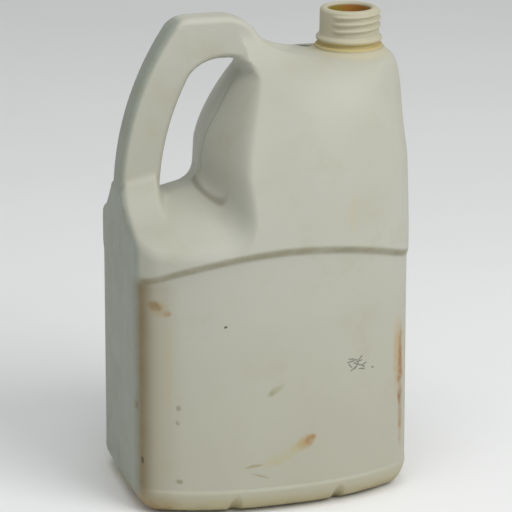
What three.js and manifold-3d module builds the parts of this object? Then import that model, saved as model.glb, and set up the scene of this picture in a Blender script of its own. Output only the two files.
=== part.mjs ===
// A five litre blow-moulded jug with an integral handle, open at its threaded neck.
// Millimetres, +Z up, standing on z = 0. X runs from the handle side to the neck side.
import * as THREE from 'three';
import { mergeVertices } from 'three/addons/utils/BufferGeometryUtils.js';
import { ParametricGeometry } from 'three/addons/geometries/ParametricGeometry.js';
import Module from 'manifold-3d';

const WALL = 1.3; // moulded wall, the same nearly everywhere

// plan, shared by the whole body
const SIDE_LEFT = -87.4;
const SIDE_RIGHT = 85.6;
const FLARE = 2.2; // how much further the right side stands out at the foot
const HALF = 48.7; // half depth at the ends of the broad faces
const BOW = 20.6; // the broad faces swell by this much towards mid width
const BOW_POWER = 2.46;
const SIDE_BOW = 1.2; // and the narrow sides by this much
const CORNER = 11.4; // plan radius of the vertical corners

// lower block: the foot, the label panels and the shoulder under the handle
const FOOT_RADIUS = 16.9;
const FOOT_BAND_Z = 17; // the panels start above this band
const FOOT_BAND = 1; // and it stands this much proud of them
const PANEL_Z = [60, 105];
const LEDGE_Z = 145; // foot of the ledge at the left end
const LEDGE_RISE = 7; // height over which the ledge steps out
const LEDGE_STEP = 3; // how far it stands proud of the label panels
const LEDGE_ARCH = 19.2; // the ledge climbs by this much towards its crown
const LEDGE_CROWN_X = 4.7;
const SHOULDER_Z = 190.9; // crown of the shoulder at SHOULDER_X
const SHOULDER_X = -58;
const SHOULDER_TILT = 0.23; // it climbs towards the column
const SHOULDER_SPAN = 170; // and falls away from mid depth by y squared over this
const SHOULDER_EDGE = 4.2; // rounding of the shoulder into the sides
const SHOULDER_STEPS = [0.8, 0.6, 0.4, 0.2, 0];
const TUCK = 0.8; // the lower block stays this far inside the column above the ledge
const TUCK_X = [-18, -4];

// upper block: the column that carries the neck
const COLUMN_FOOT = 1; // the column comes out of the lower block this far above the ledge
const COLUMN_SUNK = 9; // and starts this far below it
const COLUMN_LEAN = 1.5; // the right side leans in by this much
const COLUMN_LEAN_Z = [175, 275];
const WALL_X = -33; // ridge of the column's nose, which faces the finger hole
const WALL_BEND_Z = 211.5; // above this the ridge leans away from the hole
const WALL_LEAN = 0.0522;
const NOSE = 0.238; // the nose's length over its half depth; in plan it is half an ellipse
const NOSE_POWER = 2.11; // how the nose closes in towards the crown
const NOSE_SPAN = [-20, 40]; // and where the broad faces take over from it
const CLOSE_Z = 166.3; // from here the broad faces close in to the crown
const CROWN_Z = 274.2;
const CLOSE_POWER = 3.49;
const TAPER = 0.21;
const TOP_CORNER = 32.6; // plan radius of the right corners near the crown
const TOP_CORNER_Z = [210, 262];
const RIDGE_CORNER = 7.9; // rounding of the ridge into the right side
const COLUMN_STEPS = [0, 0.14, 0.28, 0.42, 0.55, 0.66, 0.76, 0.84, 0.9, 0.945, 0.975, 0.992, 1];

// handle
const HANDLE_HALF = 9.6; // half depth, along Y
const HANDLE_ROUND = 4.1;
const HANDLE_THICK = 25.6;
const HANDLE_TOP = 299.6;
const HANDLE_FOOT_Z = 166;
const ARC_X = 94.5; // centre and radius of the handle's outer curve
const ARC_Z = 189.9;
const ARC_R = 183.4;
const HANDLE_CORNER = 6.7;
const HOLE_CORNER = 11;
const SLOPE_TOP_X = -10; // the straight slope that falls from the grip to the column
const SLOPE_END_X = 18;
const SLOPE = -1.4;
const SLOPE_CORNER = 5;
const HOLE_END_X = -8; // the hole's top turns down into the wall here
const HOLE_END_ROUND = 5;
const INNER_END_X = 4;
const INNER_END_Z = 250;
const ROOT_Z = 214; // below this the handle widens into the shoulder
const ROOT_FLARE = 13;
const SLOPE_FLARE = 7; // widening where the slope runs into the column

// neck
const NECK_X = 58.4;
const NECK_TOP = 299.6;
const BORE_R = 13.1;
const NECK_BORE_R = 15.4;
const NECK_R = 18;
const THREAD_R = 19.25;
const THREAD_PITCH = 4.3; // right-hand
const THREAD_START_Z = 286;
const THREAD_TURNS = 2.4;
const BEAD_R = 20.3;
const BEAD_Z = 280.8;
const GAP_R = 18.7; // the groove between bead and collar
const COLLAR_R = 21;
const COLLAR_TOP = 277.1;
const NECK_ROOT_Z = 262;

// notches in the foot's long edges
const NOTCH_X = [-30.7, 36];
const NOTCH_R = 4;
const NOTCH_IN = 3.6; // the notches' axes lie this far inside the panel
const NOTCH_Z = 3.6;
const NOTCH_LENGTH = 26;
const NOTCH_SEGS = 12;

// facets
const SIDE_SEGS = 2;
const CORNER_SEGS = 6;
const LONG_SEGS = 8;
const HALF_RING = 2 * SIDE_SEGS + 2 * CORNER_SEGS + LONG_SEGS;
const GRIP_SEGS = 3;
const NECK_SEGS = 40;
const BORE_SEGS = 32;
const THREAD_SEGS = 56;

const { clamp, inverseLerp, lerp, smoothstep } = THREE.MathUtils;
const MIDDLE = (SIDE_LEFT + SIDE_RIGHT) / 2;
const REACH = (SIDE_RIGHT - SIDE_LEFT) / 2;

const wasm = await Module();
wasm.setup();

function solid(geometry) {
  geometry.deleteAttribute('normal');
  geometry.deleteAttribute('uv');
  const merged = mergeVertices(geometry, 1e-4);
  const index = merged.index.array;
  const kept = [];
  for (let i = 0; i < index.length; i += 3) {
    const [a, b, c] = [index[i], index[i + 1], index[i + 2]];
    if (a !== b && b !== c && c !== a) kept.push(a, b, c);
  }
  const points = new Float32Array(merged.attributes.position.array);
  const mesh = { numProp: 3, vertProperties: points, triVerts: new Uint32Array(kept) };
  const made = new wasm.Manifold(new wasm.Mesh(mesh));
  if (made.volume() > 0) return made;
  mesh.triVerts = mesh.triVerts.reverse();
  return new wasm.Manifold(new wasm.Mesh(mesh));
}

function swell(x) {
  return BOW * (1 - clamp(Math.abs(x - MIDDLE) / REACH, 0, 1) ** BOW_POWER);
}

function ledgeLift(x) {
  const span = (x - LEDGE_CROWN_X) / (LEDGE_CROWN_X - SIDE_LEFT);
  return LEDGE_ARCH * (1 - span * span);
}

function ledgeTop(x) {
  return LEDGE_Z + LEDGE_RISE + ledgeLift(x);
}

// How much of the full depth is left at a height: the broad faces close in to the crown.
function closing(x, z, top) {
  const t = clamp((z - CLOSE_Z) / (top - CLOSE_Z), 0, 1);
  const power = lerp(NOSE_POWER, CLOSE_POWER, smoothstep(x, ...NOSE_SPAN));
  return (1 - TAPER * t) * Math.max(1 - t ** power, 0) ** (1 / power);
}

function shoulderTop(x, y) {
  return SHOULDER_Z + SHOULDER_TILT * (x - SHOULDER_X) - (y * y) / SHOULDER_SPAN;
}

// A rounded rectangle in plan, walked from the middle of the right side round to the left and back.
// It is drawn at full depth, and then closed in by the ring's share, so a ring can be flat or a line.
function ringPoint(k, ring, target) {
  const count = 2 * HALF_RING;
  const turn = k % count;
  const j = turn <= HALF_RING ? turn : count - turn;
  const side = turn <= HALF_RING ? 1 : -1;
  const { xl, xr, half, noseX, noseY, corner } = ring;
  const cornerY = Math.min(corner, half * 0.9);
  const a = j - SIDE_SEGS;
  const b = a - CORNER_SEGS;
  const c = b - LONG_SEGS;
  const d = c - CORNER_SEGS;
  let x;
  let y;
  if (a <= 0) {
    x = xr;
    y = (half - cornerY) * (j / SIDE_SEGS);
  } else if (b <= 0) {
    const t = (a / CORNER_SEGS) * Math.PI / 2;
    x = xr - corner * (1 - Math.cos(t));
    y = half - cornerY * (1 - Math.sin(t));
  } else if (c <= 0) {
    x = lerp(xr - corner, xl + noseX, b / LONG_SEGS);
    y = half;
  } else if (d <= 0 || ring.oval) {
    const t = (c / (CORNER_SEGS + (ring.oval ? SIDE_SEGS : 0))) * Math.PI / 2;
    x = xl + noseX * (1 - Math.sin(t));
    y = half - noseY * (1 - Math.cos(t));
  } else {
    x = xl;
    y = (half - noseY) * (1 - d / SIDE_SEGS);
  }
  const across = half > 0 ? y / half : 0;
  const u = clamp((x - MIDDLE) / REACH, -1, 1);
  const outX = x + SIDE_BOW * (1 - across * across) * u ** 3;
  const tuck = ring.tuck * smoothstep(x, ...TUCK_X) * across;
  const fullY = (y + swell(x) * across - tuck) * ring.share;
  const outY = fullY * closing(x, ring.height(x, fullY), ring.top);
  target.set(outX, side * outY, ring.height(x, outY));
}

// Rings joined into a closed skin; the first and the last have no depth, so they close on a line.
function loft(rings) {
  const stacks = rings.length - 1;
  const slices = 2 * HALF_RING;
  const at = (u, v, target) => ringPoint(Math.round(u * slices), rings[Math.round(v * stacks)], target);
  return solid(new ParametricGeometry(at, slices, stacks));
}

// The lower block; inset is zero for the outside and the wall's thickness for the inside.
function lowerBlock(inset) {
  const rings = [];
  const add = (height, { cut = 0, proud = 0, share = 1, flare = 0, tuck = 0 } = {}) => {
    const corner = Math.max(CORNER - inset - cut, 3);
    rings.push({
      height,
      share,
      tuck,
      top: CROWN_Z - inset,
      corner,
      noseX: corner,
      noseY: corner,
      half: HALF + proud - inset - cut,
      xl: SIDE_LEFT + inset + cut,
      xr: SIDE_RIGHT + FLARE * flare - inset - cut - tuck,
    });
  };
  const roll = FOOT_RADIUS - inset;
  add(() => inset, { cut: roll, share: 0, flare: 1 });
  for (const step of [0, 0.22, 0.42, 0.62, 0.82]) {
    const t = (step * Math.PI) / 2;
    const z = inset + roll * (1 - Math.cos(t));
    const proud = FOOT_BAND - LEDGE_STEP;
    add(() => z, { cut: roll * (1 - Math.sin(t)), proud, flare: 1 });
  }
  add(() => FOOT_BAND_Z, { proud: FOOT_BAND - LEDGE_STEP, flare: 0.9 });
  add(() => FOOT_BAND_Z + 1, { proud: -LEDGE_STEP, flare: 0.9 });
  for (const z of PANEL_Z) {
    add((x) => z + ledgeLift(x) * (z / LEDGE_Z) ** 2 * 0.8, { proud: -LEDGE_STEP, flare: 1 - z / LEDGE_Z });
  }
  const drop = inset * 0.5;
  for (const [rise, out] of [[0, 0], [0.35, 0.28], [0.65, 0.72], [1, 1]]) {
    add((x) => LEDGE_Z + drop + LEDGE_RISE * rise + ledgeLift(x), { proud: LEDGE_STEP * (out - 1) });
  }
  const edge = Math.max(SHOULDER_EDGE - inset, 1);
  const above = (x, y, down, gap) => Math.max(shoulderTop(x, y) - inset - down, ledgeTop(x) + drop + gap);
  for (const step of [0, 0.5, 1]) {
    const t = (step * Math.PI) / 2;
    const down = edge * (1 - Math.sin(t));
    add((x, y) => above(x, y, down, 0.5 + step), { cut: edge * (1 - Math.cos(t)), tuck: TUCK });
  }
  for (const share of SHOULDER_STEPS) {
    add((x, y) => above(x, y, 0, 2), { cut: edge, share, tuck: TUCK });
  }
  return loft(rings);
}

function holeWallX(z) {
  return WALL_X + WALL_LEAN * Math.max(z - WALL_BEND_Z, 0) ** 1.5;
}

// The upper block; its foot follows the ledge and is sunk inside the lower block.
function upperBlock(inset) {
  const top = CROWN_Z - inset;
  const rings = [];
  const add = (step, share, sunk) => {
    const height = (x) => lerp(ledgeTop(x) + COLUMN_FOOT + inset * 0.5, top, step) - sunk;
    const leftZ = height(WALL_X);
    const rightZ = height(SIDE_RIGHT);
    const ridgeX = holeWallX(leftZ);
    const reach = (HALF + swell(ridgeX)) * closing(ridgeX, leftZ, top) - inset;
    const corner = lerp(CORNER, TOP_CORNER, smoothstep(rightZ, ...TOP_CORNER_Z));
    const over = clamp((rightZ - top) / RIDGE_CORNER + 1, 0, 1);
    const lean = COLUMN_LEAN * clamp(inverseLerp(...COLUMN_LEAN_Z, rightZ), 0, 1);
    rings.push({
      share,
      height,
      top,
      tuck: 0,
      oval: true,
      half: HALF - inset,
      corner: corner - inset,
      noseX: Math.max(NOSE * reach, 1),
      noseY: HALF - inset,
      xl: ridgeX + inset,
      xr: SIDE_RIGHT - lean - RIDGE_CORNER * (1 - Math.sqrt(1 - over * over)) - inset,
    });
  };
  add(0, 0, COLUMN_SUNK);
  add(0, 0.88, COLUMN_SUNK);
  for (const step of COLUMN_STEPS) add(step, 1, 0);
  return loft(rings);
}

// Stations along the handle from the shoulder up and over to the column. Each has its outer and
// inner edge in the side view and its half depth, which widens where the handle meets a block.
function handleStations(inset) {
  const outer = ARC_R - inset;
  const inner = ARC_R - HANDLE_THICK + inset;
  const top = HANDLE_TOP - inset;
  const under = HANDLE_TOP - HANDLE_THICK + inset;
  const outAngle = Math.PI - Math.asin((top - HANDLE_CORNER - ARC_Z) / outer);
  const inAngle = Math.PI - Math.asin((under - HOLE_CORNER - ARC_Z) / inner);
  const outX = ARC_X + outer * Math.cos(outAngle);
  const inX = ARC_X + inner * Math.cos(inAngle);
  const gripX = outX + 2 * HANDLE_CORNER;
  const holeX = inX + 1.5 * HOLE_CORNER;
  const holeBend = HOLE_END_X - 3 * HOLE_END_ROUND;
  const bend = SLOPE_TOP_X - inset * 0.4;
  const slope = (x) => top + (x - bend) * SLOPE;
  const foot = HANDLE_FOOT_Z + inset;
  const p = (x, z) => new THREE.Vector2(x, z);
  const line = (x0, z0, x1, z1) => new THREE.LineCurve(p(x0, z0), p(x1, z1));
  const curve = (...points) => new THREE.QuadraticBezierCurve(...points);
  const arc = (r, to) => new THREE.EllipseCurve(ARC_X, ARC_Z, r, r, Math.PI, to, true);
  const corner = p(bend + SLOPE_CORNER, slope(bend + SLOPE_CORNER));
  const pieces = [
    [line(ARC_X - outer, foot, ARC_X - outer, ARC_Z), line(ARC_X - inner, foot, ARC_X - inner, ARC_Z), 4],
    [arc(outer, outAngle), arc(inner, inAngle), 8],
    [
      curve(p(outX, top - HANDLE_CORNER), p(outX + 0.55 * HANDLE_CORNER, top), p(gripX, top)),
      curve(p(inX, under - HOLE_CORNER), p(inX + 0.45 * HOLE_CORNER, under), p(holeX, under)),
      5,
    ],
    [line(gripX, top, bend - SLOPE_CORNER, top), line(holeX, under, holeBend, under), 2],
    [
      curve(p(bend - SLOPE_CORNER, top), p(bend, top), corner),
      line(holeBend, under, HOLE_END_X - HOLE_END_ROUND, under),
      3,
    ],
    [
      line(corner.x, corner.y, SLOPE_END_X, slope(SLOPE_END_X)),
      curve(p(HOLE_END_X - HOLE_END_ROUND, under), p(HOLE_END_X, under), p(INNER_END_X, INNER_END_Z)),
      5,
    ],
  ];
  const stations = [];
  pieces.forEach(([out, inn, steps], index) => {
    for (let i = index === 0 ? 0 : 1; i <= steps; i += 1) {
      const o = out.getPoint(i / steps);
      const n = inn.getPoint(i / steps);
      const low = clamp((ROOT_Z - o.y) / (ROOT_Z - HANDLE_FOOT_Z), 0, 1);
      const right = clamp((o.x - SLOPE_TOP_X) / (SLOPE_END_X - SLOPE_TOP_X), 0, 1);
      const wider = index < 2 ? ROOT_FLARE * low ** 2.5 : SLOPE_FLARE * right ** 1.5;
      stations.push({ out: o, inn: n, half: HANDLE_HALF - inset + wider });
    }
  });
  return stations;
}

function handle(inset) {
  const stations = handleStations(inset);
  const round = HANDLE_ROUND - inset;
  const around = 4 * (GRIP_SEGS + 1);
  const at = (u, v, target) => {
    const row = Math.round(v * (stations.length + 1)) - 1;
    const station = stations[clamp(row, 0, stations.length - 1)];
    const thick = station.out.distanceTo(station.inn);
    const k = Math.round(u * around) % around;
    const quarter = Math.floor(k / (GRIP_SEGS + 1));
    const t = ((k % (GRIP_SEGS + 1)) / GRIP_SEGS + quarter) * Math.PI / 2;
    const sideSign = quarter === 0 || quarter === 3 ? 1 : -1;
    const backSign = quarter < 2 ? 1 : -1;
    const closed = row < 0 || row >= stations.length;
    const c = closed ? 0 : sideSign * (thick / 2 - round) + round * Math.cos(t);
    const y = backSign * (station.half - round) + round * Math.sin(t);
    const mix = 0.5 + c / thick;
    const x = lerp(station.inn.x, station.out.x, mix);
    const z = lerp(station.inn.y, station.out.y, mix);
    target.set(x, y, z);
  };
  return solid(new ParametricGeometry(at, around, stations.length + 1));
}

function turned(profile, segments) {
  const points = profile.map(([r, z]) => new THREE.Vector2(r, z));
  const geometry = new THREE.LatheGeometry(points, segments);
  geometry.rotateX(Math.PI / 2);
  geometry.translate(NECK_X, 0, 0);
  return solid(geometry);
}

function neckOutside() {
  return turned([
    [0, NECK_ROOT_Z],
    [COLLAR_R, NECK_ROOT_Z],
    [COLLAR_R, COLLAR_TOP - 0.8],
    [COLLAR_R - 0.8, COLLAR_TOP],
    [GAP_R, COLLAR_TOP + 0.2],
    [GAP_R, BEAD_Z - 1.8],
    [BEAD_R - 0.4, BEAD_Z - 1.3],
    [BEAD_R, BEAD_Z],
    [BEAD_R - 0.4, BEAD_Z + 1],
    [NECK_R, BEAD_Z + 2.4],
    [NECK_R, NECK_TOP - 2.4],
    [NECK_R - 0.8, NECK_TOP - 0.6],
    [NECK_R - 2.4, NECK_TOP],
    [0, NECK_TOP],
  ], NECK_SEGS);
}

function neckBore() {
  return turned([
    [0, NECK_ROOT_Z - 12],
    [NECK_BORE_R, NECK_ROOT_Z - 12],
    [NECK_BORE_R, NECK_TOP - 13],
    [BORE_R, NECK_TOP - 9],
    [BORE_R, NECK_TOP - 1.8],
    [BORE_R + 0.5, NECK_TOP - 0.6],
    [BORE_R + 1.6, NECK_TOP],
    [BORE_R + 1.6, NECK_TOP + 1],
    [0, NECK_TOP + 1],
  ], BORE_SEGS);
}

// One continuous thread, fading into the neck at both ends.
function thread() {
  const section = [[-1.5, 0], [-0.55, 1], [0.55, 1], [1.5, 0], [0, -0.6]];
  const at = (u, v, target) => {
    const [along, out] = section[Math.round(u * section.length) % section.length];
    const size = clamp(Math.min(v, 1 - v) * THREAD_SEGS / 5, 0, 1);
    const angle = 2 * Math.PI * THREAD_TURNS * v - Math.PI / 2;
    const r = NECK_R - 0.5 + (0.5 + out * (THREAD_R - NECK_R)) * size;
    const z = THREAD_START_Z + THREAD_PITCH * THREAD_TURNS * v + along * size;
    target.set(NECK_X + r * Math.cos(angle), r * Math.sin(angle), z);
  };
  return solid(new ParametricGeometry(at, section.length, THREAD_SEGS));
}

function notch(x, side, grow) {
  const radius = NOTCH_R + grow;
  const geometry = new THREE.CylinderGeometry(radius, radius, NOTCH_LENGTH + 2 * grow, NOTCH_SEGS);
  geometry.rotateX(side * Math.PI / 4);
  const y = HALF + swell(x) - LEDGE_STEP - NOTCH_IN;
  geometry.translate(x, side * y, NOTCH_Z);
  return solid(geometry);
}

function buildJug() {
  let outside = lowerBlock(0).add(upperBlock(0)).add(handle(0)).add(neckOutside()).add(thread());
  let inside = lowerBlock(WALL).add(upperBlock(WALL)).add(handle(WALL)).add(neckBore());
  for (const x of NOTCH_X) {
    for (const side of [-1, 1]) {
      outside = outside.subtract(notch(x, side, 0));
      inside = inside.subtract(notch(x, side, WALL));
    }
  }
  return outside.subtract(inside);
}

function toMesh(made, name, material) {
  const mesh = made.getMesh();
  const geometry = new THREE.BufferGeometry();
  geometry.setAttribute('position', new THREE.BufferAttribute(new Float32Array(mesh.vertProperties), 3));
  geometry.setIndex(new THREE.BufferAttribute(new Uint32Array(mesh.triVerts), 1));
  geometry.computeVertexNormals();
  const out = new THREE.Mesh(geometry, material);
  out.name = name;
  return out;
}

const plastic = new THREE.MeshStandardMaterial({ color: 0xb9b6a4, roughness: 0.45 });
plastic.name = 'hdpe';

const jug = new THREE.Group();
jug.name = 'plastic_jug';
jug.add(toMesh(buildJug(), 'jug', plastic));

export default jug;
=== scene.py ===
import math
import bpy
import numpy as np
from mathutils import Matrix, Vector


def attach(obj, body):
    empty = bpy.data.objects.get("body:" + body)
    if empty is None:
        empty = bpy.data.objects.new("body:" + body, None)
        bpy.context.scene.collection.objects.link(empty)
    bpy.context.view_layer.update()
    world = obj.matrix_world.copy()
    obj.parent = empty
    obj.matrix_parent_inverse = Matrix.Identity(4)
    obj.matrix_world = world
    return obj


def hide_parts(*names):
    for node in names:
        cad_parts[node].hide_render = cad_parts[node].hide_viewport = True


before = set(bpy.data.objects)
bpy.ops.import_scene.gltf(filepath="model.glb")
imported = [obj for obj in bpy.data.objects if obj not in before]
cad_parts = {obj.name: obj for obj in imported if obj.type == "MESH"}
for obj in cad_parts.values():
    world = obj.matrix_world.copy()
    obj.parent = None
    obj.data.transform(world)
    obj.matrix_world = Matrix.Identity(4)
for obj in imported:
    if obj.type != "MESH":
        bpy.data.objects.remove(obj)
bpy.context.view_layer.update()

MM = 0.001
IMAGE = 512                  # pixels across the square picture

# The jug's skin as a signed distance, in millimetres: negative inside, zero on the skin.
SIDE_LEFT = -87.4
SIDE_RIGHT = 85.6
FLARE = 2.2                  # the right side stands out this much further at the foot
HALF = 48.7                  # half depth at the ends of the broad faces, above the ledge
BOW = 20.5                   # how much the broad faces swell towards mid width
BOW_POWER = 2.46
SIDE_BOW = 1.2               # and the narrow sides
SIDE_DRAFT = 1.5             # the right side leans in by this above the shoulder
SIDE_DRAFT_Z = 175.0
SIDE_DRAFT_SPAN = 100.0
CORNER = 11.4
FOOT_ROUND = 16.9
LEDGE_Z = 145.0              # foot of the ledge at the left end
LEDGE_RISE = 7.0
LEDGE_STEP = 3.0             # the ledge stands this much proud of the label panels
LEDGE_ARCH = 19.2
LEDGE_CROWN_X = 4.7
SHOULDER_Z = 190.9           # crown of the shoulder under the handle, at its left end
SHOULDER_X = -58.0
SHOULDER_SPAN = 170.0        # it falls by y squared over this
SHOULDER_TILT = 0.230        # and it climbs this much towards the column
SHOULDER_EDGE = 4.2
WALL_X = -33.0               # ridge of the column's nose, which faces the finger hole
WALL_BEND_Z = 211.5
WALL_LEAN = 0.0522
NOSE = 0.238                 # the nose's length over its half depth; in plan it is half an ellipse
NOSE_REACH = 6.0             # its least half depth
NOSE_POWER = 2.11             # how the nose closes in towards the crown
NOSE_SPAN = (-20.0, 40.0)    # and where the broad faces take over from it
CLOSE_Z = 166.3              # the broad faces close in from here up to the crown
CROWN_Z = 274.2
CLOSE_POWER = 3.49
TAPER = 0.21
TOP_CORNER = 32.6            # plan radius of the right corners near the top
TOP_CORNER_Z = (210.0, 262.0)
RIDGE_CORNER = 7.9           # rounding of the ridge into the right side
HANDLE_HALF = 9.6
HANDLE_ROUND = 4.1
HANDLE_THICK = 25.6
HANDLE_TOP = 299.6
ARC_X = 94.5                 # the handle's outer curve
ARC_Z = 189.9
ARC_R = 183.4
SLOPE_X = -10.0              # the slope falls from the grip to the column
SLOPE = -1.40
COLUMN_FOOT_Z = 120.0        # the column runs down into the lower block as far as this
COLUMN_FILLET = 12.0
GRIP_CORNER = 6.7
HOLE_CORNER = 11.0           # the finger hole's upper corner by the grip
HOLE_END_CORNER = 8.0        # its corner by the column, for the lower part of the handle
GAP_CORNER = 12.0            # and for the upper part
GRIP_FOOT_Z = 158.0          # the handle runs down into the shoulder as far as this
FOOT_FILLET = 8.0            # fillet of the handle's foot, at the parting plane
FOOT_FLARE = 22.0            # it widens by this over these half depths
FOOT_FLARE_Y = (5.0, 13.0)
FOOT_INSIDE = (-3.0, 5.0)    # and over these distances from the finger hole
FOOT_FADE_Z = (162.0, 186.0)    # the fillet comes in between these heights
SWEEP_LEAST = 6.0            # fillet between handle and column at the parting plane
SWEEP = 18.0                 # it widens by this over these half depths
SWEEP_Y = (0.0, 14.0)
SWEEP_Z = (222.0, 244.0)     # the upper part of the handle takes over between these heights
EDGE_LEAST = 0.05            # the handle's edge is this sharp where it runs out on the nose
EDGE_FADE = 8.0
SLOPE_CORNER = 10.5
GRIP_END_X = 30.0            # the slope's solid ends here, inside the column
FOOT_BAND_Z = 17.0           # top of the band round the foot
FOOT_BAND = 1.0              # the band stands this much proud of the label panels
NOTCH_X = (-30.7, 36.0)
NOTCH_R = 4.0
NOTCH_IN = 3.6               # the notches' axes lie this far inside the panel and above the floor
NOTCH_REACH = 13.0
NOTCH_EDGE = 0.7
DIAGONAL = 0.707
SEAM_SOFT = 0.01             # squared width of the soft crease at the parting plane


def hypot(a, b):
    return np.sqrt(a * a + b * b)


def round_max(a, b, r):
    """Both sides at once, with an edge of radius r between them."""
    u, v = np.maximum(a + r, 0), np.maximum(b + r, 0)
    return np.minimum(np.maximum(a, b), -r) + hypot(u, v)


def round_min(a, b, k):
    """Either body, with a fillet about k wide between them."""
    h = np.maximum(k - np.abs(a - b), 0) / k
    return np.minimum(a, b) - h * h * k * 0.25


def ramp(x, a, b):
    t = np.clip((x - a) / (b - a), 0, 1)
    return t * t * (3 - 2 * t)


def bow(x):
    middle, reach = (SIDE_LEFT + SIDE_RIGHT) / 2, (SIDE_RIGHT - SIDE_LEFT) / 2
    u = np.clip((x - middle) / reach, -1, 1)
    return BOW * (1 - np.abs(u) ** BOW_POWER)


def ledge_inset(x, z):
    s = (x - LEDGE_CROWN_X) / (LEDGE_CROWN_X - SIDE_LEFT)
    foot = LEDGE_Z + LEDGE_ARCH * (1 - s * s)
    panel = 1 - ramp(z, foot, foot + LEDGE_RISE)
    band = 1 - ramp(z, FOOT_BAND_Z - 1.0, FOOT_BAND_Z + 1.2)
    return LEDGE_STEP * panel - FOOT_BAND * band


def broad_faces(x, ay, z):
    """Distance to the broad faces, which close over the top in a superellipse, and its slope up."""
    t = np.clip((z - CLOSE_Z) / (CROWN_Z - CLOSE_Z), 0, 1.3) + 1e-6
    half = (HALF + bow(x)) * (1 - TAPER * np.minimum(t, 1))
    u = ay / half + 1e-6
    n = NOSE_POWER + (CLOSE_POWER - NOSE_POWER) * ramp(x, *NOSE_SPAN)
    rho = (u ** n + t ** n) ** (1 / n)
    du, dt = (u / rho) ** (n - 1) / half, (t / rho) ** (n - 1) / (CROWN_Z - CLOSE_Z)
    reach = half * np.maximum(1 - np.minimum(t, 0.999) ** n, 0) ** (1 / n)
    return (rho - 1) / hypot(du, dt), (t / rho) ** n, reach


def nose_ridge(x, z):
    """Distance to the ridge of the nose, which leans back above its bend."""
    lift = np.maximum(z - WALL_BEND_Z, 0)
    slope = 1.5 * WALL_LEAN * lift ** 0.5
    return (WALL_X + WALL_LEAN * lift ** 1.5 - x) / np.sqrt(1 + slope ** 2)


def shoulder(x, ay, z):
    crown = SHOULDER_Z + SHOULDER_TILT * (x - SHOULDER_X) - ay * ay / SHOULDER_SPAN
    return (z - crown) / np.sqrt(1 + (2 * ay / SHOULDER_SPAN) ** 2)


def oval_corner(a, b, ra, rb):
    """Corner between two faces, rounded by ra along the first normal and rb along the second."""
    pa, pb = np.maximum(a / ra + 1, 0), np.maximum(b / rb + 1, 0)
    size = hypot(pa, pb) + 1e-9
    d = size * (size - 1) / (hypot(pa / ra, pb / rb) + 1e-9)
    return np.where((pa > 0) & (pb > 0), d, np.maximum(a, b))


def block_and_left(x, ay, z, wall):
    """Distances to the lower block with the column on it, and to the left side."""
    v = np.clip(ay / HALF, 0, 1)
    side = SIDE_BOW * (1 - v * v)
    low = np.clip(1 - z / LEDGE_Z, 0, 1)
    draft = SIDE_DRAFT * np.clip((z - SIDE_DRAFT_Z) / SIDE_DRAFT_SPAN, 0, 1)
    right = x - (SIDE_RIGHT + side + FLARE * low - draft)
    left = (SIDE_LEFT - side) - x
    face, up, reach = broad_faces(x, ay, z)
    face = face + ledge_inset(x, z)
    corner = CORNER + (TOP_CORNER - CORNER) * ramp(z, *TOP_CORNER_Z)
    corner = corner + (RIDGE_CORNER - corner) * up ** 3
    right_end = round_max(right, face, corner)
    plan = np.maximum(right_end, round_max(left, face, CORNER))
    lower = round_max(plan, -z, FOOT_ROUND)
    lower = round_max(lower, shoulder(x, ay, z), SHOULDER_EDGE)
    reach = np.maximum(reach, NOSE_REACH)
    column = np.maximum(oval_corner(wall, face, NOSE * reach, reach), right_end)
    column = np.maximum(column, COLUMN_FOOT_Z - z)
    block = np.maximum(round_min(lower, column, COLUMN_FILLET), right_end)
    return block, left


def with_handle(block, outer, x, ay, z, wall):
    """The block joined with the handle, and the finger hole cut."""
    tilt = np.arctan(-SLOPE)
    fall = (x - SLOPE_X) * np.sin(tilt) + (z - HANDLE_TOP) * np.cos(tilt)
    bar = round_max(round_max(outer, z - HANDLE_TOP, GRIP_CORNER), fall, SLOPE_CORNER)
    bar = np.maximum(bar, x - GRIP_END_X)
    under = round_max(outer + HANDLE_THICK, z - HANDLE_TOP + HANDLE_THICK, HOLE_CORNER)

    # lower part: the grip flares into the shoulder
    hole = round_max(under, -wall, HOLE_END_CORNER)
    grip = round_max(np.maximum(bar, -hole), ay - HANDLE_HALF, HANDLE_ROUND)
    grip = np.maximum(grip, GRIP_FOOT_Z - z)
    flare = FOOT_FLARE * ramp(ay, *FOOT_FLARE_Y) * ramp(hole, *FOOT_INSIDE)
    foot = round_min(block, grip, 1 + (FOOT_FILLET + flare) * ramp(z, *FOOT_FADE_Z))

    # upper part: its flanks sweep into the column, and the hole is bounded by the nose itself
    solid_bar = round_max(bar, ay - HANDLE_HALF, HANDLE_ROUND)
    sweep = round_min(block, solid_bar, SWEEP_LEAST + SWEEP * ramp(ay, *SWEEP_Y))
    gap = round_max(under, -block, GAP_CORNER)
    edge = EDGE_LEAST + (HANDLE_ROUND - EDGE_LEAST) * ramp(block, 0, EDGE_FADE)
    top = round_max(sweep, -gap, edge)
    return foot + (top - foot) * ramp(z, *SWEEP_Z)


def notched(solid, x, ay, z):
    """The solid with a slanting groove for each notch of the foot."""
    for nx in NOTCH_X:
        panel = HALF + bow(nx) - LEDGE_STEP
        dy, dz = ay - (panel - NOTCH_IN), z - NOTCH_IN
        groove = hypot(x - nx, (dy - dz) * DIAGONAL) - NOTCH_R
        groove = np.maximum(groove, np.abs(dy + dz) * DIAGONAL - NOTCH_REACH)
        solid = round_max(solid, -groove, NOTCH_EDGE)
    return solid


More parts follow.
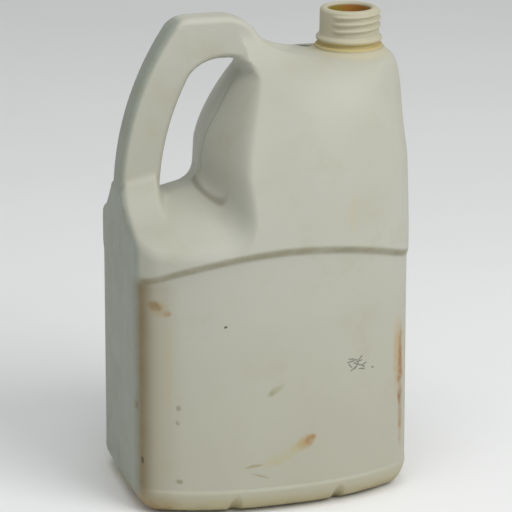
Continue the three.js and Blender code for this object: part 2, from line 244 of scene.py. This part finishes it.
def body(p):
    """Distance to the jug without its neck."""
    x, y, z = p[..., 0], p[..., 1], p[..., 2]
    ay = np.sqrt(y * y + SEAM_SOFT)
    wall = nose_ridge(x, z)
    block, left = block_and_left(x, ay, z, wall)
    outer = np.where(z < ARC_Z, ARC_X - ARC_R - x, hypot(x - ARC_X, z - ARC_Z) - ARC_R)
    solid = with_handle(block, outer, x, ay, z, wall)
    solid = np.maximum(solid, np.minimum(left, outer))
    return notched(solid, x, ay, z)


WALL = 1.3
SKIN_CELL = 1.6              # mesh size on the outside
INNER_CELL = 3.2             # and on the inside
JUG_LOW = (-94.0, -78.0, -3.0)
JUG_HIGH = (94.0, 78.0, 304.0)

NECK_X = 58.4
NECK_TOP = 299.6
NECK_R = 18.0
MOUTH_R = 13.1               # inside the thick lip
BORE_R = 15.4                # and below it
GAP_R = 18.7                 # between collar and bead
BEAD_R = 20.3
BEAD_Z = 280.8
COLLAR_R = 21.0
COLLAR_TOP = 277.1
NECK_ROOT = 258.0            # the neck starts inside the body here
THREAD_OUT = 1.25
THREAD_PITCH = 4.3
THREAD_LOW = 284.6
THREAD_HIGH = 298.0
THREAD_GAP = math.radians(40)    # half the stretch without thread at the parting line
NECK_FILLET = 4.0
FILLET_LOW = 255.0           # the collar's fillet lies above this
ON_SKIN = 0.06               # a point this near a face lies on it
NECK_SEGMENTS = 176
BORE_SEGMENTS = 96
PROFILE_STEP = 0.42
BORE_STEP = 3.0
BORE_LOW = 246.0
BORE_UNDER_LIP = 15.0
AXIS_R = 0.4                 # the cutter stops short of the axis by this


def gradient(field, p, reach=0.05):
    g = np.empty_like(p)
    for i in range(3):
        d = np.zeros(3)
        d[i] = reach
        g[:, i] = (field(p + d) - field(p - d)) / (2 * reach)
    return g


def settle(field, p, rounds=4):
    """Points moved along the gradient until they lie on the skin."""
    for _ in range(rounds):
        g = gradient(field, p)
        move = g * (field(p) / np.maximum((g * g).sum(1), 0.1))[:, None]
        length = np.maximum(np.linalg.norm(move, axis=1, keepdims=True), 1e-9)
        p = p - move * np.minimum(1, 1.0 / length)
    return p


def sample(field, low, cell, count):
    """The field at the corners of a block of cells, slab by slab."""
    out = np.empty(count)
    ys = low[1] + cell * np.arange(count[1])
    zs = low[2] + cell * np.arange(count[2])
    for i in range(count[0]):
        grid = np.stack(np.broadcast_arrays(low[0] + cell * i, ys[:, None], zs[None, :]), -1)
        out[i] = field(grid)
    return out


def surface_net(field, low, high, cell):
    """Closed quad mesh of the field's zero."""
    low = np.array(low)
    count = tuple(int(n) for n in np.ceil((np.array(high) - low) / cell) + 1)
    f = sample(field, low, cell, count)
    f[f == 0] = 1e-6
    solid = f < 0
    corners = [(a, b, c) for a in (0, 1) for b in (0, 1) for c in (0, 1)]
    shape = tuple(n - 1 for n in count)
    total = np.zeros(shape, np.int8)
    for a, b, c in corners:
        total += solid[a:a + shape[0], b:b + shape[1], c:c + shape[2]]
    active = (total > 0) & (total < 8)
    cells = np.argwhere(active)
    index = np.full(shape, -1)
    index[active] = np.arange(len(cells))
    place, hits = np.zeros((len(cells), 3)), np.zeros(len(cells))
    for first in corners:
        for axis in range(3):
            if first[axis]:
                continue
            a = cells + np.array(first)
            b = a + np.eye(3, dtype=int)[axis]
            fa, fb = f[tuple(a.T)], f[tuple(b.T)]
            cross = (fa < 0) != (fb < 0)
            t = fa[cross] / (fa[cross] - fb[cross])
            place[cross] += a[cross] + t[:, None] * (b[cross] - a[cross])
            hits[cross] += 1
    points = low + cell * place / hits[:, None]
    faces = []
    for axis in range(3):
        u, v = (axis + 1) % 3, (axis + 2) % 3
        step = np.eye(3, dtype=int)
        lower = [slice(None)] * 3
        upper = [slice(None)] * 3
        lower[axis], upper[axis] = slice(None, -1), slice(1, None)
        flips = solid[tuple(lower)] != solid[tuple(upper)]
        edge = np.argwhere(flips)
        edge = edge[(edge[:, u] > 0) & (edge[:, v] > 0)]
        edge = edge[(edge[:, u] < shape[u]) & (edge[:, v] < shape[v])]
        ring = [edge - step[u] - step[v], edge - step[v], edge, edge - step[u]]
        quad = np.stack([index[tuple(r.T)] for r in ring], 1)
        out = solid[tuple(edge.T)]
        faces.append(np.where(out[:, None], quad, quad[:, ::-1]))
    return points, np.concatenate(faces)


def lathe(profile, segments, shift=None):
    """Profile of (radius, z) turned round the neck's axis; shift moves a point outwards."""
    profile = np.array(profile)
    angles = np.linspace(0, 2 * math.pi, segments, endpoint=False)
    r = np.repeat(profile[None, :, 0], segments, 0)
    z = np.repeat(profile[None, :, 1], segments, 0)
    a = np.repeat(angles[:, None], len(profile), 1)
    if shift is not None:
        r = r + shift(a, r, z)
    points = np.stack([NECK_X + r * np.cos(a), r * np.sin(a), z], -1).reshape(-1, 3)
    n = len(profile)
    i, j = np.meshgrid(np.arange(segments), np.arange(n), indexing="ij")
    i2, j2 = (i + 1) % segments, (j + 1) % n
    quads = np.stack([i * n + j, i2 * n + j, i2 * n + j2, i * n + j2], -1).reshape(-1, 4)
    return points, quads


def softened(loop, rounds=2):
    """A closed loop with its corners cut."""
    loop = np.array(loop, float)
    for _ in range(rounds):
        ahead = np.roll(loop, -1, 0)
        loop = np.stack([0.75 * loop + 0.25 * ahead, 0.25 * loop + 0.75 * ahead], 1).reshape(-1, 2)
    return loop


def spaced(loop, gap):
    """The closed loop again with points no further apart than the gap."""
    out = []
    for a, b in zip(loop, np.roll(loop, -1, 0)):
        steps = max(1, int(np.ceil(np.linalg.norm(b - a) / gap)))
        out.extend(a + (b - a) * k / steps for k in range(steps))
    return np.array(out)


def thread_height(angle, r, z):
    """One right-hand thread that fades out at both ends and at the parting line."""
    turns = (z - THREAD_LOW) / THREAD_PITCH - angle / (2 * math.pi)
    across = np.abs(turns - np.round(turns)) * THREAD_PITCH
    ridge = 1 - ramp(across, 0.35, 1.55)
    start = ramp(z, THREAD_LOW - 0.3, THREAD_LOW + 1.2)
    end = 1 - ramp(z, THREAD_HIGH - 1.4, THREAD_HIGH)
    parted = ramp(np.abs(angle - math.pi), THREAD_GAP - 0.12, THREAD_GAP + 0.22)
    outside = ramp(r, NECK_R - 0.4, NECK_R - 0.05)
    return THREAD_OUT * ridge * (start * end) * parted * outside


def neck_ring():
    lip = NECK_TOP
    loop = [
        (COLLAR_R, NECK_ROOT), (COLLAR_R, COLLAR_TOP - 2), (COLLAR_R - 0.1, COLLAR_TOP - 0.7),
        (COLLAR_R - 1.0, COLLAR_TOP), (GAP_R + 0.3, COLLAR_TOP + 0.1), (GAP_R, COLLAR_TOP + 0.6),
        (GAP_R, BEAD_Z - 1.9), (GAP_R + 0.5, BEAD_Z - 1.7), (BEAD_R - 0.5, BEAD_Z - 1.4),
        (BEAD_R, BEAD_Z - 0.3), (BEAD_R - 0.2, BEAD_Z + 0.9), (NECK_R + 0.9, BEAD_Z + 1.9), (NECK_R, BEAD_Z + 2.8),
        (NECK_R, lip - 2.4), (NECK_R - 0.2, lip - 1.2), (NECK_R - 1.2, lip - 0.2), (NECK_R - 2.6, lip),
        (MOUTH_R + 1.2, lip), (MOUTH_R + 0.2, lip - 0.8), (MOUTH_R, lip - 2), (MOUTH_R, lip - 9),
        (BORE_R, lip - 13), (BORE_R, NECK_ROOT),
    ]
    return lathe(spaced(softened(loop), PROFILE_STEP), NECK_SEGMENTS, thread_height)


def bore_cutter():
    """The bore from the hollow body up to the thick lip."""
    inner, top = BORE_R - 0.1, NECK_TOP - BORE_UNDER_LIP
    loop = [(AXIS_R, BORE_LOW), (inner, BORE_LOW), (inner, top), (AXIS_R, top)]
    return lathe(spaced(np.array(loop, float), BORE_STEP), BORE_SEGMENTS)


def mesh_object(name, points, faces):
    mesh = bpy.data.meshes.new(name)
    mesh.from_pydata((np.asarray(points) * MM).tolist(), [], np.asarray(faces).tolist())
    mesh.validate()
    obj = bpy.data.objects.new(name, mesh)
    bpy.context.scene.collection.objects.link(obj)
    return obj


def combine(obj, other, operation):
    """Joins or cuts with another closed body, which is then deleted."""
    step = obj.modifiers.new("step", "BOOLEAN")
    step.operation = operation
    step.solver = "MANIFOLD"
    step.object = other
    graph = bpy.context.evaluated_depsgraph_get()
    made = bpy.data.meshes.new_from_object(obj.evaluated_get(graph))
    obj.modifiers.remove(step)
    old = obj.data
    obj.data = made
    bpy.data.meshes.remove(old)
    bpy.data.objects.remove(other)


def lining(p):
    return body(p) + WALL


def skin(p):
    """The body with a fillet round the foot of the neck's collar."""
    z, plain = p[..., 2], body(p)
    collar = np.hypot(p[..., 0] - NECK_X, p[..., 1]) - COLLAR_R
    near = (z > FILLET_LOW - 5) & (z < COLLAR_TOP - 1)
    return np.where(near, round_min(plain, np.maximum(collar, FILLET_LOW - z), NECK_FILLET), plain)


def collar_fillet(p, radial):
    """Which points lie on the fillet."""
    z = p[:, 2]
    near = (radial > COLLAR_R - 0.2) & (radial < COLLAR_R + 6)
    near &= (z > FILLET_LOW) & (z < COLLAR_TOP - 2.4)
    near[near] = np.abs(skin(p[near])) < NECK_FILLET * 0.3
    return near


def smooth_normals(mesh, p, radial):
    """Vertex normals taken from the field wherever a point lies on the skin or on the lining."""
    normals = np.empty(len(mesh.vertices) * 3)
    mesh.vertices.foreach_get("normal", normals)
    normals = normals.reshape(-1, 3)
    outside = np.abs(skin(p)) < ON_SKIN
    outside &= (radial > COLLAR_R + 0.1) | (p[:, 2] < COLLAR_TOP - 2.6)
    inside = np.abs(lining(p)) < ON_SKIN
    inside &= radial > BORE_R + 0.6
    for mask, field, sign in ((outside, skin, 1), (inside & ~outside, body, -1)):
        g = gradient(field, p[mask]) * sign
        normals[mask] = g / np.maximum(np.linalg.norm(g, axis=1, keepdims=True), 1e-6)
    for polygon in mesh.polygons:
        polygon.use_smooth = True
    mesh.normals_split_custom_set_from_vertices(normals.tolist())


def build_jug():
    points, faces = surface_net(body, JUG_LOW, JUG_HIGH, SKIN_CELL)
    jug = mesh_object("jug_skin", settle(body, points), faces)
    combine(jug, mesh_object("ring", *neck_ring()), "UNION")
    points, faces = surface_net(lining, JUG_LOW, JUG_HIGH, INNER_CELL)
    combine(jug, mesh_object("lining", settle(lining, points), faces), "DIFFERENCE")
    combine(jug, mesh_object("bore", *bore_cutter()), "DIFFERENCE")
    mesh = jug.data
    p = np.empty(len(mesh.vertices) * 3)
    mesh.vertices.foreach_get("co", p)
    p = p.reshape(-1, 3) / MM
    radial = np.hypot(p[:, 0] - NECK_X, p[:, 1])
    foot = collar_fillet(p, radial)
    p[foot] = settle(skin, p[foot])
    mesh.vertices.foreach_set("co", (p * MM).ravel())
    mesh.update()
    smooth_normals(mesh, p, radial)
    return jug


class Graph:
    """Short calls for the nodes of one material."""

    def __init__(self, name):
        self.material = bpy.data.materials.new(name)
        self.material.use_nodes = True
        self.tree = self.material.node_tree
        self.tree.nodes.clear()

    def node(self, kind, inputs=None, **settings):
        node = self.tree.nodes.new(kind)
        for key, value in settings.items():
            setattr(node, key, value)
        for key, value in (inputs or {}).items():
            self.feed(node.inputs[key], value)
        return node

    def feed(self, socket, value):
        if isinstance(value, bpy.types.NodeSocket):
            self.tree.links.new(value, socket)
        else:
            socket.default_value = value

    def math(self, operation, a, b=0.0, c=None):
        inputs = {0: a, 1: b} if c is None else {0: a, 1: b, 2: c}
        return self.node("ShaderNodeMath", inputs, operation=operation).outputs[0]

    def add(self, a, b):
        return self.math("ADD", a, b)

    def times(self, *factors):
        made = factors[0]
        for factor in factors[1:]:
            made = self.math("MULTIPLY", made, factor)
        return made

    def length(self, a, b):
        return self.math("SQRT", self.add(self.times(a, a), self.times(b, b)))

    def size(self, value):
        return self.math("ABSOLUTE", value)

    def span(self, value, low, high, to_low=0.0, to_high=1.0):
        """Value carried smoothly from one range to another, and held at its ends."""
        made = self.node("ShaderNodeMapRange", {
            "Value": value, "From Min": low, "From Max": high, "To Min": to_low, "To Max": to_high,
        }, interpolation_type="SMOOTHSTEP")
        return made.outputs["Result"]

    def fade(self, value, low, high):
        """One up to the low value, nothing from the high one."""
        return self.span(value, low, high, 1.0, 0.0)

    def turned(self, dx, dz, degrees):
        """The pair in axes turned by the angle."""
        c, s = math.cos(math.radians(degrees)), math.sin(math.radians(degrees))
        along = self.add(self.times(dx, c), self.times(dz, s))
        return along, self.add(self.times(dz, c), self.times(dx, -s))

    def noise(self, where, scale, detail=3.0, rough=0.55, warp=0.0):
        made = self.node("ShaderNodeTexNoise", {
            "Vector": where, "Scale": scale, "Detail": detail, "Roughness": rough, "Distortion": warp,
        })
        return made.outputs["Fac"]

    def mix(self, share, a, b):
        made = self.node("ShaderNodeMix", data_type="RGBA")
        self.feed(made.inputs[0], share)
        for index, value in ((6, a), (7, b)):
            if isinstance(value, tuple):
                value = (*value, 1.0)
            self.feed(made.inputs[index], value)
        return made.outputs[2]

    def split(self, vector):
        return self.node("ShaderNodeSeparateXYZ", {0: vector}).outputs


def srgb(r, g, b):
    """Display colour of 0 to 255 as scene linear."""
    return tuple(v / 255 / 12.92 if v <= 10 else ((v / 255 + 0.055) / 1.055) ** 2.4 for v in (r, g, b))


# Marks on the broad front face, in millimetres: x, z, reach along, reach across, turn in degrees,
# how ragged its edge is, colour, strength. The mark turns from +X towards +Z.
MARKS = (
    (-78.0, 136.0, 5.2, 3.4, -20, 0.9, (104, 78, 40), 0.88),
    (-76.5, 134.8, 8.0, 6.0, -20, 0.6, (166, 138, 88), 0.50),
    (-71.5, 131.8, 3.0, 2.6, 0, 0.9, (158, 120, 66), 0.70),
    (-38.0, 123.6, 1.5, 1.0, 20, 0.4, (58, 52, 44), 0.90),
    (-84.6, 35.7, 0.9, 3.2, 4, 0.3, (52, 40, 30), 0.90),
    (-86.8, 70.0, 1.0, 3.4, 5, 0.6, (92, 78, 58), 0.45),
    (-65.3, 72.0, 1.8, 2.8, -30, 0.8, (112, 110, 92), 0.55),
    (-66.0, 62.4, 1.4, 2.2, 10, 0.8, (112, 106, 84), 0.50),
    (-65.0, 24.0, 2.8, 2.0, 10, 0.7, (116, 106, 74), 0.55),
    (-7.0, 80.6, 7.6, 2.6, 32, 0.7, (134, 130, 76), 0.55),
    (15.5, 46.4, 5.0, 3.4, 30, 1.0, (146, 92, 38), 0.92),
    (13.0, 45.4, 9.0, 5.4, 28, 0.8, (172, 138, 84), 0.60),
    (-1.0, 38.6, 19.0, 5.0, 28, 1.0, (180, 166, 104), 0.50),
    (-20.0, 32.8, 8.0, 1.6, 10, 0.8, (150, 134, 84), 0.55),
    (-15.5, 26.0, 7.4, 1.0, -18, 0.6, (142, 130, 92), 0.45),
    (77.0, 88.0, 4.8, 32.0, 2, 0.8, (182, 148, 92), 0.60),
    (79.2, 74.0, 2.6, 42.0, 1, 0.9, (150, 100, 46), 0.85),
    (57.5, 86.8, 1.2, 0.8, -20, 0.3, (74, 66, 54), 0.80),
    (41.5, 188.0, 2.4, 13.0, 0, 1.0, (196, 172, 128), 0.45),
    (-71.0, 96.0, 3.4, 32.0, 0, 1.0, (182, 166, 122), 0.45),
    (80.5, 42.0, 2.6, 16.0, 0, 0.9, (166, 124, 66), 0.60),
)
# Fine grey scratches on the front face: x, z, length, turn.
SCRATCHES = (
    (43.0, 93.4, 9.0, 12), (46.5, 91.0, 8.0, -24), (44.0, 88.4, 6.4, 34), (49.6, 87.2, 5.6, -10),
    (48.5, 94.6, 5.0, 48), (41.6, 90.6, 4.2, -50), (51.4, 90.2, 4.6, 22),
    (46.0, 90.0, 7.0, 60), (42.4, 94.8, 5.0, -8), (47.6, 92.8, 6.0, 8), (50.4, 89.0, 4.0, -40),
)


# The material's places are in metres.
FRONT_CORNER = (-0.0862, -0.0462)    # the vertical corner between the narrow side and the front
RAGGED = 0.004                       # how far a ragged mark's edge strays
SCRATCH_STRAY = 0.0016


def base_color(g, z):
    """Aged natural plastic, a little warmer lower down."""
    broad = g.noise(g.where, 9.0, 2.0)
    color = g.mix(g.span(broad, 0.35, 0.65), srgb(187, 187, 174), srgb(182, 181, 167))
    color = g.mix(g.span(g.patchy, 0.50, 0.74, 0.0, 0.35), color, srgb(176, 170, 147))
    return g.mix(g.span(z, 0.03, 0.19, 0.5, 0.0), color, srgb(177, 174, 155))


def foot_color(g, color, z):
    """The foot has yellowed, and it is brown along the floor, which is painted shade under the foot."""
    foot = g.fade(g.add(z, g.times(g.patchy, 0.010)), 0.009, 0.024)
    color = g.mix(g.times(foot, 0.62), color, srgb(178, 166, 116))
    # Painted shade along the floor, darker brown in patches.
    floor_shade = g.times(g.fade(z, 0.0, 0.011), g.span(g.dirty, 0.35, 0.65))
    return g.mix(g.times(floor_shade, 0.55), color, srgb(126, 108, 66))


def corner_dirt_and_shade(g, color, x, y, z):
    """Dirt and painted shade down the vertical corner between the narrow side and the front, below the ledge,
    where the corner faces away from the light.
    """
    dx, dy = g.add(x, -FRONT_CORNER[0]), g.add(y, -FRONT_CORNER[1])
    round_corner = g.add(g.times(dx, -0.72), g.times(dy, 0.72))
    across = g.add(g.times(dx, 0.7), g.times(dy, 0.7))
    below = g.fade(z, 0.146, 0.156)
    # Painted shade with some dirt: the front darkens towards the corner.
    halo = g.times(g.fade(x, -0.0845, -0.060), g.fade(y, -0.040, -0.036), below)
    color = g.mix(g.times(halo, 0.50), color, srgb(146, 134, 104))
    # Painted shade and brown dirt in a strip down the rounded corner.
    off = g.size(g.add(round_corner, -0.0015))
    strip = g.times(g.fade(off, 0.0, 0.011), g.fade(g.size(across), 0.006, 0.016))
    strip = g.times(strip, g.span(z, 0.004, 0.02), below, g.span(g.dirty, 0.2, 0.6, 0.82, 1.0))
    return g.mix(g.times(strip, 0.80), color, srgb(122, 106, 70))


def ledge_dirt_and_shade(g, color, x, y, z):
    """Olive dirt and painted shade along the ledge, on the broad faces: the band stands for the shade under the
    ledge's downward facing step.
    """
    s = g.times(g.add(x, -LEDGE_CROWN_X * MM), 1 / ((LEDGE_CROWN_X - SIDE_LEFT) * MM))
    rise = g.times(g.math("MULTIPLY_ADD", g.times(s, s), -1.0, 1.0), LEDGE_ARCH * MM)
    off = g.math("SUBTRACT", g.math("SUBTRACT", z, rise), (LEDGE_Z + 4.2) * MM)
    # Painted shade under the ledge's step, with olive dirt.
    ledge = g.times(g.fade(g.size(off), 0.0010, 0.0038), g.span(g.size(y), 0.0425, 0.0480))
    ledge = g.times(ledge, g.span(g.dirty, 0.25, 0.7, 0.6, 1.0))
    return g.mix(g.times(ledge, 0.62), color, srgb(118, 108, 66))


def side_grey(g, color, x, z):
    """The narrow side and the handle's outer edge are darker and greyer."""
    dx = g.math("SUBTRACT", ARC_X * MM, x)
    dz = g.math("MAXIMUM", g.add(z, -ARC_Z * MM), 0.0)
    grey = g.span(g.length(dx, dz), (ARC_R - 4.2) * MM, (ARC_R - 1.2) * MM)
    shade = g.mix(g.span(g.dirty, 0.3, 0.7), srgb(150, 156, 146), srgb(144, 148, 134))
    return g.mix(g.times(grey, 0.85), color, shade)


def worn_foot(g, color, x, z):
    """Brown at the left end of the foot, on its long edge."""
    worn = g.times(g.fade(x, -0.080, -0.056), g.fade(z, 0.006, 0.016), g.front)
    worn = g.times(worn, g.span(g.dirty, 0.3, 0.6, 0.4, 1.0))
    return g.mix(g.times(worn, 0.60), color, srgb(146, 112, 62))


def seam_dirt(g, color, x, y, z):
    """The parting line, dirty on the nose and at the foot of the narrow side."""
    seam = g.fade(g.size(y), 0.0002, 0.0009)
    nose = g.times(g.span(z, 0.200, 0.206), g.fade(z, 0.250, 0.264))
    nose = g.times(nose, g.span(x, -0.044, -0.040), g.fade(x, -0.016, -0.010))
    pinch = g.times(g.fade(x, -0.080, -0.078), g.span(z, 0.014, 0.018), g.fade(z, 0.030, 0.034))
    share = g.times(seam, g.add(g.times(nose, 0.5), g.times(pinch, 0.7)))
    return g.mix(share, color, srgb(98, 90, 70))


def nose_crease_shade(g, color, x, y, z):
    """Painted shade in the crease where the nose meets the shoulder."""
    dy = g.add(y, 0.006)
    off = g.add(g.add(x, 0.0397), g.times(dy, dy, -7.5))
    # Painted shade along the crease at the nose's foot.
    arc = g.times(g.fade(g.size(off), 0.0003, 0.0026), g.fade(z, 0.200, 0.204), g.span(z, 0.184, 0.188))
    arc = g.times(arc, g.span(y, -0.042, -0.036), g.fade(y, 0.004, 0.010))
    return g.mix(g.times(arc, 0.5), color, srgb(112, 104, 82))


def collar_painted_shadow(g, color, x, y, z):
    """Painted shadow behind the ridge, beside the collar."""
    along, across = g.turned(g.add(x, -0.0335), g.add(y, -0.012), -45)
    far = g.length(g.times(along, 1 / 0.0085), g.times(across, 1 / 0.0030))
    # Painted shadow: a dark green patch on the top behind the ridge.
    shadow_mask = g.times(g.fade(far, 0.5, 1.0), g.math("GREATER_THAN", z, 0.262))
    return g.mix(g.times(shadow_mask, 0.85), color, srgb(72, 78, 62))


def stains(g, color, x, z, rx, rz):
    for mx, mz, along, across, turn, edge, shade, strength in MARKS:
        stray = RAGGED * edge
        dx = g.add(g.add(x, -mx * MM), g.math("MULTIPLY_ADD", rx, stray, -stray / 2))
        dz = g.add(g.add(z, -mz * MM), g.math("MULTIPLY_ADD", rz, stray, -stray / 2))
        u, v = g.turned(dx, dz, turn)
        far = g.length(g.times(u, 1 / (along * MM)), g.times(v, 1 / (across * MM)))
        mask = g.times(g.fade(far, 0.35, 1.05), g.front)
        mask = g.times(mask, g.span(g.dirty, 0.38, 0.60, 1.0 - 0.7 * edge, 1.0))
        color = g.mix(g.times(mask, strength), color, srgb(*shade))
    return color


def scratch_mask(g, x, z, rz):
    mask = 0.0
    for mx, mz, length, turn in SCRATCHES:
        dz = g.add(g.add(z, -mz * MM), g.math("MULTIPLY_ADD", rz, SCRATCH_STRAY, -SCRATCH_STRAY / 2))
        u, v = g.turned(g.add(x, -mx * MM), dz, turn)
        ends = g.fade(g.size(u), length * MM * 0.3, length * MM * 0.5)
        mask = g.math("MAXIMUM", mask, g.times(ends, g.fade(g.size(v), 0.0001, 0.00075)))
    return g.times(mask, g.front)


def neck_stain(g, color, x, y, z):
    """The neck is yellow between bead and collar, and stained inside."""
    nx = g.add(x, -NECK_X * MM)
    radius = g.length(nx, y)
    gap = g.times(g.span(z, 0.2745, 0.2770), g.fade(z, 0.2796, 0.2812), g.fade(radius, 0.0232, 0.0246))
    color = g.mix(g.times(gap, 0.75), color, srgb(182, 160, 88))
    skirt = g.times(g.span(z, 0.262, 0.272), g.fade(radius, 0.0212, 0.0290))
    color = g.mix(g.times(skirt, 0.30), color, srgb(190, 176, 122))
    inside = g.times(g.span(radius, 0.0144, 0.0136, 0.0, 1.0), g.span(z, 0.2985, 0.2972))
    inside = g.times(g.math("GREATER_THAN", z, 0.255), inside)
    olive_to_brown = g.mix(g.span(nx, -0.006, 0.006), srgb(150, 132, 52), srgb(176, 120, 52))
    return g.mix(inside, color, olive_to_brown)


def plastic():
    g = Graph("hdpe_aged")
    g.where = g.node("ShaderNodeTexCoord").outputs["Object"]
    x, y, z = g.split(g.where)
    g.front = g.math("LESS_THAN", y, 0.0)
    g.patchy = g.noise(g.where, 42.0, 4.0, 0.6, 0.3)
    g.dirty = g.noise(g.where, 70.0, 5.0, 0.62)
    fine = g.noise(g.where, 380.0, 3.0)
    ragged = g.node("ShaderNodeTexNoise", {"Vector": g.where, "Scale": 160.0, "Detail": 4.0})
    rx, _, rz = g.split(ragged.outputs["Color"])

    color = foot_color(g, base_color(g, z), z)
    color = corner_dirt_and_shade(g, color, x, y, z)
    color = ledge_dirt_and_shade(g, color, x, y, z)
    color = side_grey(g, color, x, z)
    color = worn_foot(g, color, x, z)
    color = seam_dirt(g, color, x, y, z)
    color = nose_crease_shade(g, color, x, y, z)
    color = collar_painted_shadow(g, color, x, y, z)
    color = stains(g, color, x, z, rx, rz)
    scratch = scratch_mask(g, x, z, rz)
    color = g.mix(g.times(scratch, 0.80), color, srgb(104, 108, 98))
    color = neck_stain(g, color, x, y, z)

    parting = g.fade(g.size(y), 0.00015, 0.0007)
    height = g.add(g.times(fine, 0.10), g.times(parting, 0.35))
    height = g.add(height, g.times(scratch, -0.4))
    height = g.add(height, g.times(g.noise(g.where, 55.0, 2.0), 0.9))
    bump = g.node("ShaderNodeBump", {"Height": height, "Strength": 0.35, "Distance": 0.0006}).outputs[0]
    rough = g.add(g.span(g.patchy, 0.3, 0.7, 0.50, 0.60), g.times(scratch, 0.1))
    shader = g.node("ShaderNodeBsdfPrincipled", {
        "Base Color": color, "Roughness": rough, "Normal": bump, "IOR": 1.52,
        "Subsurface Weight": 0.12, "Subsurface Scale": 0.004,
        "Subsurface Radius": (1.0, 0.85, 0.6), "Specular IOR Level": 0.30,
    })
    g.node("ShaderNodeOutputMaterial", {"Surface": shader.outputs[0]})
    return g.material


def floor_material():
    g = Graph("floor_plain")
    where = g.node("ShaderNodeTexCoord").outputs["Object"]
    soft = g.noise(where, 3.0)
    color = g.mix(g.span(soft, 0.3, 0.7), (0.90, 0.90, 0.90), (0.92, 0.92, 0.92))
    shader = g.node("ShaderNodeBsdfPrincipled", {"Base Color": color, "Roughness": 0.8})
    g.node("ShaderNodeOutputMaterial", {"Surface": shader.outputs[0]})
    return g.material


def add_floor():
    half = 4.0
    corners = [(-half, -half, 0), (half, -half, 0), (half, half, 0), (-half, half, 0)]
    mesh = bpy.data.meshes.new("floor")
    mesh.from_pydata(corners, [], [(0, 1, 2, 3)])
    floor = bpy.data.objects.new("floor", mesh)
    bpy.context.scene.collection.objects.link(floor)
    floor.data.materials.append(floor_material())


def add_light(name, place, aim, size, power, tint=(1, 1, 1)):
    data = bpy.data.lights.new(name, "AREA")
    data.shape = "DISK"
    data.size, data.energy, data.color = size, power, tint
    light = bpy.data.objects.new(name, data)
    light.location = place
    light.rotation_euler = (Vector(aim) - Vector(place)).to_track_quat("-Z", "Y").to_euler()
    bpy.context.scene.collection.objects.link(light)


def add_lights():
    aim = (0, 0, 0.14)
    add_light("key", (0.9, -1.3, 1.7), aim, 1.4, 24)
    add_light("fill", (-1.6, 0.9, 0.7), aim, 1.2, 0.8, (0.92, 0.98, 1.0))
    add_light("top", (-0.3, -0.6, 2.0), aim, 1.2, 10)
    world = bpy.data.worlds.new("studio")
    world.use_nodes = True
    sky = world.node_tree.nodes["Background"]
    sky.inputs[0].default_value = (0.97, 1.0, 1.0, 1.0)
    sky.inputs[1].default_value = 0.42
    bpy.context.scene.world = world


CAMERA_PIXELS = 2551.0       # focal length in pixels
CAMERA_AZIMUTH = -17.07
CAMERA_ELEVATION = 17.96
CAMERA_ROLL = 0.42
CAMERA_DISTANCE = 1583.0
CAMERA_AIM = (0.17, 0.0, 145.0)
SENSOR = 36.0                # millimetres across


def add_camera():
    a, e, roll = (math.radians(v) for v in (CAMERA_AZIMUTH, CAMERA_ELEVATION, CAMERA_ROLL))
    back = Vector((math.sin(a) * math.cos(e), -math.cos(a) * math.cos(e), math.sin(e)))
    right = Vector((math.cos(a), math.sin(a), 0))
    up = back.cross(right)
    across = right * math.cos(roll) + up * math.sin(roll)
    upward = -right * math.sin(roll) + up * math.cos(roll)
    data = bpy.data.cameras.new("camera")
    data.sensor_width = SENSOR
    data.lens = CAMERA_PIXELS * SENSOR / IMAGE
    camera = bpy.data.objects.new("camera", data)
    turn = Matrix((across, upward, back)).transposed().to_4x4()
    camera.matrix_world = Matrix.Translation((Vector(CAMERA_AIM) + back * CAMERA_DISTANCE) * MM) @ turn
    data.clip_start, data.clip_end = 0.05, 50.0
    bpy.context.scene.collection.objects.link(camera)
    bpy.context.scene.camera = camera


add_camera()
add_floor()
add_lights()
jug = build_jug()
jug.data.materials.clear()
jug.data.materials.append(plastic())
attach(jug, "root")
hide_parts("jug")

scene_view = bpy.context.scene.view_settings
scene_view.view_transform = "Standard"
